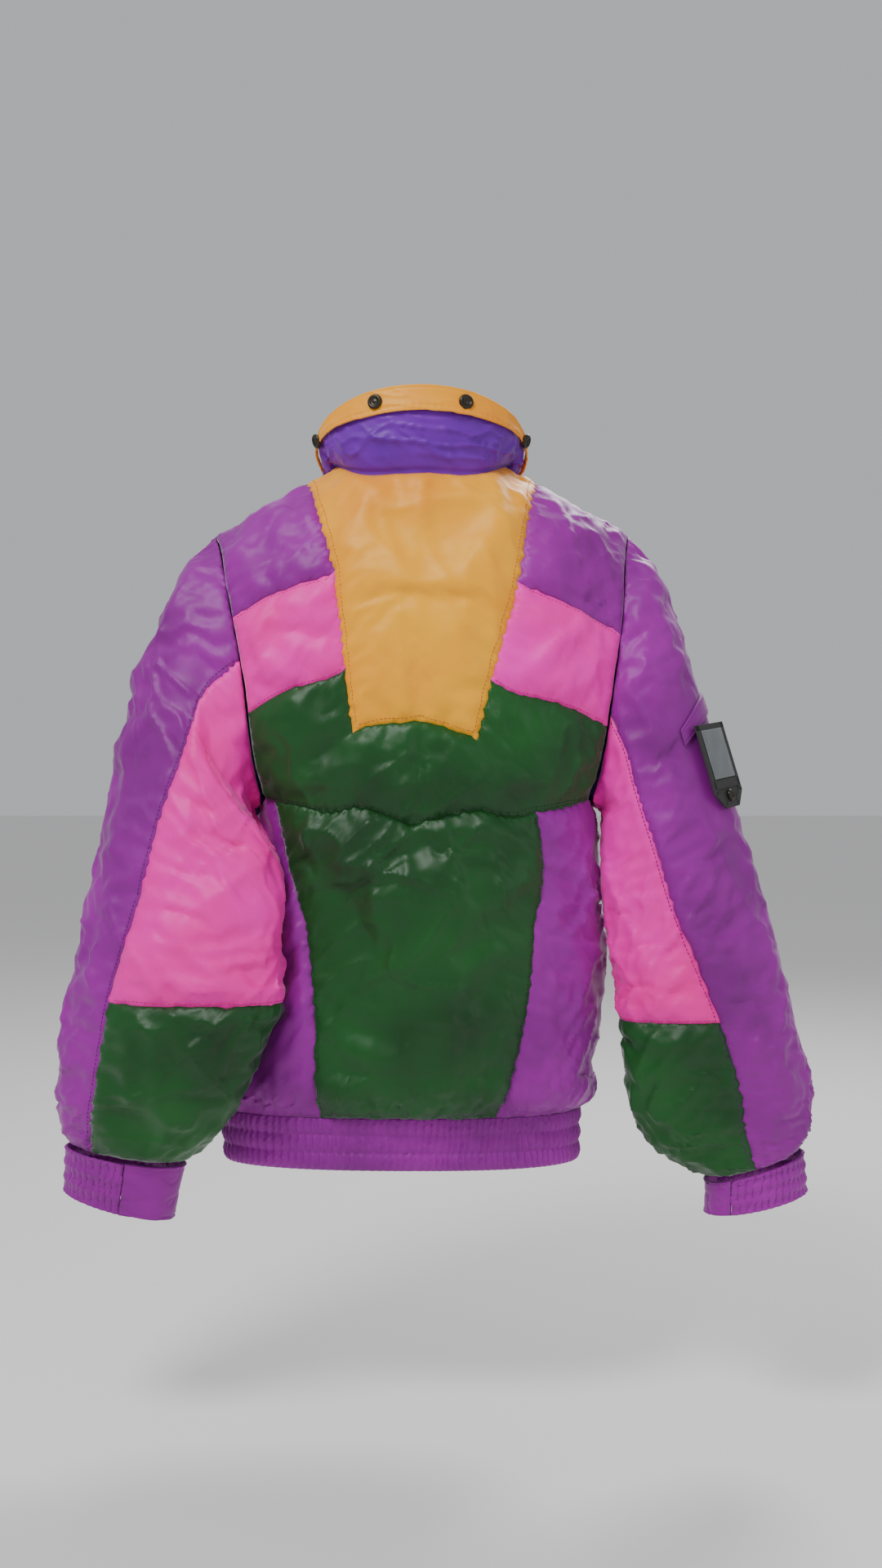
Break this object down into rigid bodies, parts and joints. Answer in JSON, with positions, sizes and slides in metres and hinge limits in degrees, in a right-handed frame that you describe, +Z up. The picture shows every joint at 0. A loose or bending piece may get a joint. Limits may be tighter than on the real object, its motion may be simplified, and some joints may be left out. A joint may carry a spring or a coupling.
{
  "type": "ski jacket",
  "caption": "Padded ski jacket with a stand collar, colour-blocked shell, front zip, zipped pockets, elastic hem and cuffs, and a pass holder on the sleeve.",
  "frame": {"origin": "foot of the hanging loop, inside the middle of the back of the neck", "axes": "+Z up as the jacket hangs, the front faces -Y, +X is the wearer's left"},
  "size_m": [0.7424, 0.2357, 0.8176],
  "materials": {
    "amber_shell": "amber nylon taffeta with a soft satin sheen",
    "purple_shell": "purple nylon taffeta with a soft satin sheen",
    "pink_shell": "hot pink nylon taffeta with a soft satin sheen",
    "green_shell": "deep green nylon taffeta with a soft satin sheen",
    "wadding": "white polyester wadding",
    "lining": "dark violet woven lining",
    "snap": "dark brown enamelled ring snap",
    "zip_tape": "dark purple woven zip tape with moulded teeth",
    "zip_metal": "brushed nickel zip hardware",
    "black_webbing": "black textile-reinforced vinyl",
    "clear_window": "clear flexible vinyl"
  },
  "bodies": {
    "torso": {"back_yoke": "amber_shell", "collar_band": "amber_shell", "front_yoke_left": "amber_shell", "front_yoke_right": "amber_shell", "hem_band": "purple_shell", "collar_shell": "purple_shell", "hanging_loop": "purple_shell", "back_shoulder_left": "purple_shell", "front_shoulder_left": "purple_shell", "side_panel_left": "purple_shell", "back_shoulder_right": "purple_shell", "front_shoulder_right": "purple_shell", "side_panel_right": "purple_shell", "back_stripe_left": "pink_shell", "front_stripe_left": "pink_shell", "back_stripe_right": "pink_shell", "front_stripe_right": "pink_shell", "back_band": "green_shell", "back_panel": "green_shell", "front_band_left": "green_shell", "front_panel_left": "green_shell", "front_band_right": "green_shell", "front_panel_right": "green_shell", "wadding_back": "wadding", "wadding_front_left": "wadding", "wadding_front_right": "wadding", "lining_back": "lining", "collar_lining": "lining", "lining_front_left": "lining", "lining_front_right": "lining", "hood_snap_inner_left": "snap", "hood_snap_outer_left": "snap", "hood_snap_inner_right": "snap", "hood_snap_outer_right": "snap", "zip_tape_left": "zip_tape", "zip_tape_right": "zip_tape", "pocket_zip_left": "zip_tape", "pocket_zip_right": "zip_tape"},
    "sleeve_left": {"sleeve_outer_left": "purple_shell", "cuff_left": "purple_shell", "cuff_tab_left": "purple_shell", "sleeve_inner_left": "pink_shell", "sleeve_lower_left": "green_shell", "sleeve_lining_left": "lining"},
    "sleeve_right": {"pass_strip": "purple_shell", "sleeve_outer_right": "purple_shell", "cuff_right": "purple_shell", "cuff_tab_right": "purple_shell", "sleeve_inner_right": "pink_shell", "sleeve_lower_right": "green_shell", "sleeve_lining_right": "lining"},
    "zip_slider": {"zip_slider": "zip_metal"},
    "zip_pull": {"zip_pull": "zip_metal"},
    "pocket_slider_left": {"pocket_left_slider": "zip_metal"},
    "pocket_pull_left": {"pocket_left_pull": "zip_metal"},
    "pocket_slider_right": {"pocket_right_slider": "zip_metal"},
    "pocket_pull_right": {"pocket_right_pull": "zip_metal"},
    "pass_holder": {"pass_holder": "black_webbing", "pass_window": "clear_window", "pass_snap": "snap"}
  },
  "joints": [
    {"name": "shoulder_left", "type": "hinge", "parent": "torso", "child": "sleeve_left", "pos_m": [0.2145, -0.055, -0.048], "axis": [0, -1, 0], "range_deg": [0, 45]},
    {"name": "shoulder_right", "type": "hinge", "parent": "torso", "child": "sleeve_right", "pos_m": [-0.2145, -0.055, -0.048], "axis": [0, 1, 0], "range_deg": [0, 45]},
    {"name": "main_zip", "type": "slide", "parent": "torso", "child": "zip_slider", "axis": [0, 0, 1], "range_m": [-0.6, 0]},
    {"name": "main_pull", "type": "hinge", "parent": "zip_slider", "child": "zip_pull", "pos_m": [0, -0.1564, -0.024], "axis": [-1, 0, 0], "range_deg": [0, 150]},
    {"name": "pocket_zip_left", "type": "slide", "parent": "torso", "child": "pocket_slider_left", "axis": [-0.1824, -0.0396, 0.9824], "range_m": [-0.115, 0]},
    {"name": "pocket_pull_left", "type": "hinge", "parent": "pocket_slider_left", "child": "pocket_pull_left", "pos_m": [0.0627, -0.15586, -0.41506], "axis": [-0.9832, 0.0073, -0.1823], "range_deg": [0, 150]},
    {"name": "pocket_zip_right", "type": "slide", "parent": "torso", "child": "pocket_slider_right", "axis": [0.1824, -0.04, 0.9824], "range_m": [-0.115, 0]},
    {"name": "pocket_pull_right", "type": "hinge", "parent": "pocket_slider_right", "child": "pocket_pull_right", "pos_m": [-0.0627, -0.15719, -0.41506], "axis": [-0.9832, -0.0074, 0.1823], "range_deg": [0, 150]},
    {"name": "pass_flap", "type": "hinge", "parent": "sleeve_right", "child": "pass_holder", "pos_m": [-0.28428, -0.00498, -0.24445], "axis": [0.5872, 0.8023, -0.1072], "range_deg": [0, 110]}
  ]
}
